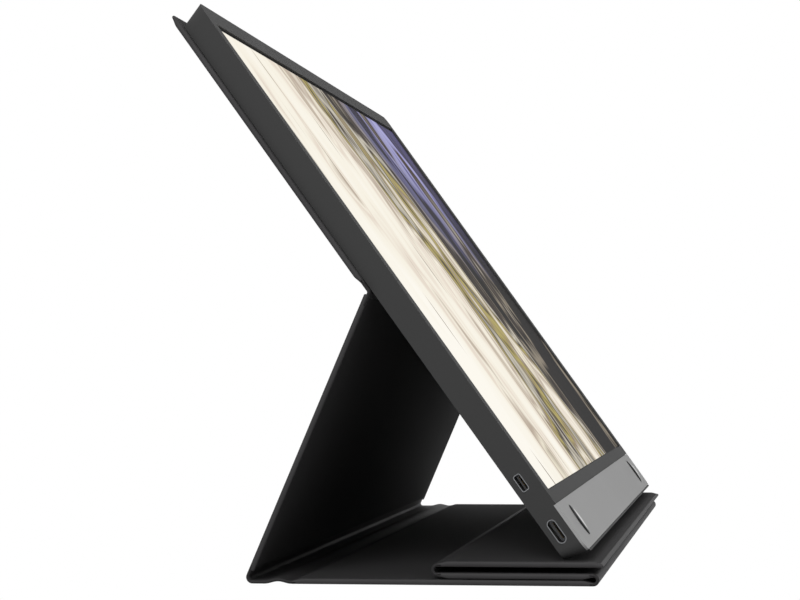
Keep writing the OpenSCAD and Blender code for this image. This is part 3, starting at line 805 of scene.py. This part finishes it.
def streaks(tree, spot, turn, squeeze, scale, detail, distortion=0.0):
    """Noise drawn out up the picture: turned by turn degrees, and squeezed upwards before it is read."""
    links = {"Vector": spot, "Rotation": (0, 0, np.radians(turn)), "Scale": (1.0, squeeze, 1.0)}
    turned = add(tree, "Mapping", links).outputs["Vector"]
    links = {"Vector": turned, "Scale": scale, "Detail": detail, "Distortion": distortion}
    return add(tree, "TexNoise", links).outputs["Fac"]


def scaled(tree, colour, factor):
    """A colour times a number."""
    return add(tree, "VectorMath", {0: colour, "Scale": factor}, operation="SCALE").outputs["Vector"]


def join(tree, operation, first, second):
    """One sum on two colours, channel by channel."""
    return add(tree, "VectorMath", {0: first, 1: second}, operation=operation).outputs["Vector"]


def streak_picture():
    """Broad streaks plus a slope across the picture, read through a warm ramp, or through a cool one near
    one corner, times a layer of hairlines: (warm * (1 - corner) + cool * corner) * hairlines."""
    material, tree = start_material("lit_display_behind_antiglare_film")
    spot = add(tree, "UVMap", uv_map="pattern").outputs["UV"]
    broad = streaks(tree, spot, turn=-7, squeeze=0.3, scale=4.2, detail=3.0, distortion=0.15)
    contrast = remap(tree, broad, to_low=-0.32, to_high=0.28, from_low=0.3, from_high=0.7)
    links = {0: spot, 1: (0.485, 0.16, 0.0)}
    slope = add(tree, "VectorMath", links, operation="DOT_PRODUCT").outputs["Value"]
    level = calculate(tree, "ADD", contrast, slope)

    place = add(tree, "SeparateXYZ", {0: spot}).outputs
    rightward = remap(tree, place["X"], to_low=0.0, to_high=1.0, from_low=1.0, from_high=1.5)
    upward = remap(tree, place["Y"], to_low=0.0, to_high=1.0, from_low=0.5, from_high=0.85)
    corner = calculate(tree, "MULTIPLY", rightward, upward)
    rest = calculate(tree, "SUBTRACT", 1.0, corner)
    warm = scaled(tree, ramp(tree, level, WARM), rest)
    cool = scaled(tree, ramp(tree, level, COOL), corner)
    fine = streaks(tree, spot, turn=-5, squeeze=0.07, scale=30.0, detail=1.0)
    hairlines = ramp(tree, fine, HAIRLINES)
    end_material(tree, {
        "Base Color": linear("#0c0c0c"),
        "Roughness": 0.5,
        "Specular IOR Level": 0.01,
        "Emission Color": join(tree, "MULTIPLY", join(tree, "ADD", warm, cool), hairlines),
        "Emission Strength": 0.98,
    })
    return material


s, t = np.meshgrid(np.linspace(0, 1, 33), np.linspace(0, 1, 19))
lit_x = (s - 0.5) * (VIEW_W - 2 * EDGE_BLACK)
lit_u = CHIN + EDGE_BLACK + t * (VIEW_H - EDGE_BLACK - TOP_BLACK)
shape_map = np.stack([s * VIEW_W / VIEW_H, t], axis=-1)
lit_points = on_screen(lit_x, lit_u, GLASS_N)
lit = make_piece("lit_area", lit_points, grid_faces(*s.shape), streak_picture(), uv=shape_map)
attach(lit, "monitor")
print("lit area", round(VIEW_W / MM, 1), "by", round(VIEW_H / MM, 1), "mm")

# %% [markdown]
# Inside each socket a thin moulded tongue carries a row of gilded contacts on each of its two faces. They
# are flat bars, all worked out together: eight corners for each bar, from its middle and its half sizes.


# %% Socket contacts
def bars(middles, half_sizes):
    """Corners and faces of many equal bars on the screen's frame, one for each row of middles."""
    signs = np.array([[x, u, n] for x in (-1, 1) for u in (-1, 1) for n in (-1, 1)])
    corners = middles[:, None, :] + signs[None] * np.array(half_sizes)
    faces = np.array([[0, 1, 3, 2], [4, 6, 7, 5], [0, 4, 5, 1], [2, 3, 7, 6], [0, 2, 6, 4], [1, 5, 7, 3]])
    faces = (faces[None] + 8 * np.arange(len(middles))[:, None, None]).reshape(-1, 4)
    return on_screen(corners[..., 0], corners[..., 1], corners[..., 2]), faces


# a bar's middle behind the tongue's outer end, and its half sizes along x, u and n
CONTACT_IN = 2.2 * MM
CONTACT_HALF = (1.7 * MM, 0.11 * MM, 0.02 * MM)
# contacts in a row, their pitch, and half the tongue's thickness
CONTACTS = {"usb": (12, 0.5 * MM, 0.35 * MM), "hdmi": (10, 0.42 * MM, 0.3 * MM)}
for socket, (count, pitch, half_tongue) in CONTACTS.items():
    tongue_low, tongue_high = np.array(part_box(socket + "_tongue"))
    middle = (tongue_low + tongue_high) / 2 - SCREEN_START
    u_middle, n_middle = middle @ SCREEN_U, middle @ SCREEN_N
    x = np.full(count, tongue_low[0] + CONTACT_IN)
    u = u_middle + (np.arange(count) - (count - 1) / 2) * pitch
    rows = [np.stack([x, u, np.full(count, n_middle + side * half_tongue)], axis=-1) for side in (-1, 1)]
    points, faces = bars(np.concatenate(rows), CONTACT_HALF)
    contacts = facing_out(make_piece(socket + "_contacts", points, faces, gilding, smooth=False))
    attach(contacts, "monitor")
print("contacts:", {name: 2 * values[0] for name, values in CONTACTS.items()})

# %% [markdown]
# Each crescent push button carries a low polished dome, highest at the middle and thin at both tips, with a
# bright highlight painted along its middle. Its outline is an arc of a circle and the chord that closes it.
# With h half its length and w its width, the circle's radius is (h * h + w * w) / (2 * w).

# %% Button domes
DOME_HALF, DOME_W, DOME_RISE = 6 * MM, 4.2 * MM, 0.8 * MM
# the tips would be points, so a dome stops just short of them and has a low rim all round
DOME_SHARE, DOME_RIM = 0.96, 0.03 * MM
# a button's middle on the screen's frame, and the height of its face
BUTTON_X, BUTTON_U, BUTTON_TOP = 153.2 * MM, 10.2 * MM, 9.28 * MM


def crescent_dome(name, side):
    """A closed dome over a crescent whose bulge faces the monitor's side: -1 is left, 1 is right."""
    along, over = np.meshgrid(np.linspace(-DOME_SHARE, DOME_SHARE, 41), np.linspace(0, 1, 17))
    radius = (DOME_HALF**2 + DOME_W**2) / (2 * DOME_W)
    sag = radius - np.sqrt(radius**2 - (along * DOME_HALF) ** 2)
    across = DOME_W / 2 - over * (DOME_W - sag)
    rise = DOME_RISE * (1 - along**2) * np.sqrt(np.clip(np.sin(np.pi * over), 0, 1))
    x, u = side * (BUTTON_X - across), BUTTON_U + along * DOME_HALF
    lower, upper = on_screen(x, u, BUTTON_TOP), on_screen(x, u, BUTTON_TOP + DOME_RIM + rise)
    # painted highlight: 1 along the middle of the dome, falling to 0 at its tips and sides
    highlight_share = (1 - along**2) * np.sin(np.pi * over)
    return make_shell(name, lower, upper, button_coat, cut=highlight_share)


for name, side, body in (("menu_dome", -1, "menu_button"), ("power_dome", 1, "power_button")):
    dome = crescent_dome(name, side)
    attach(dome, body)
print("domes rise", DOME_RISE / MM, "mm")
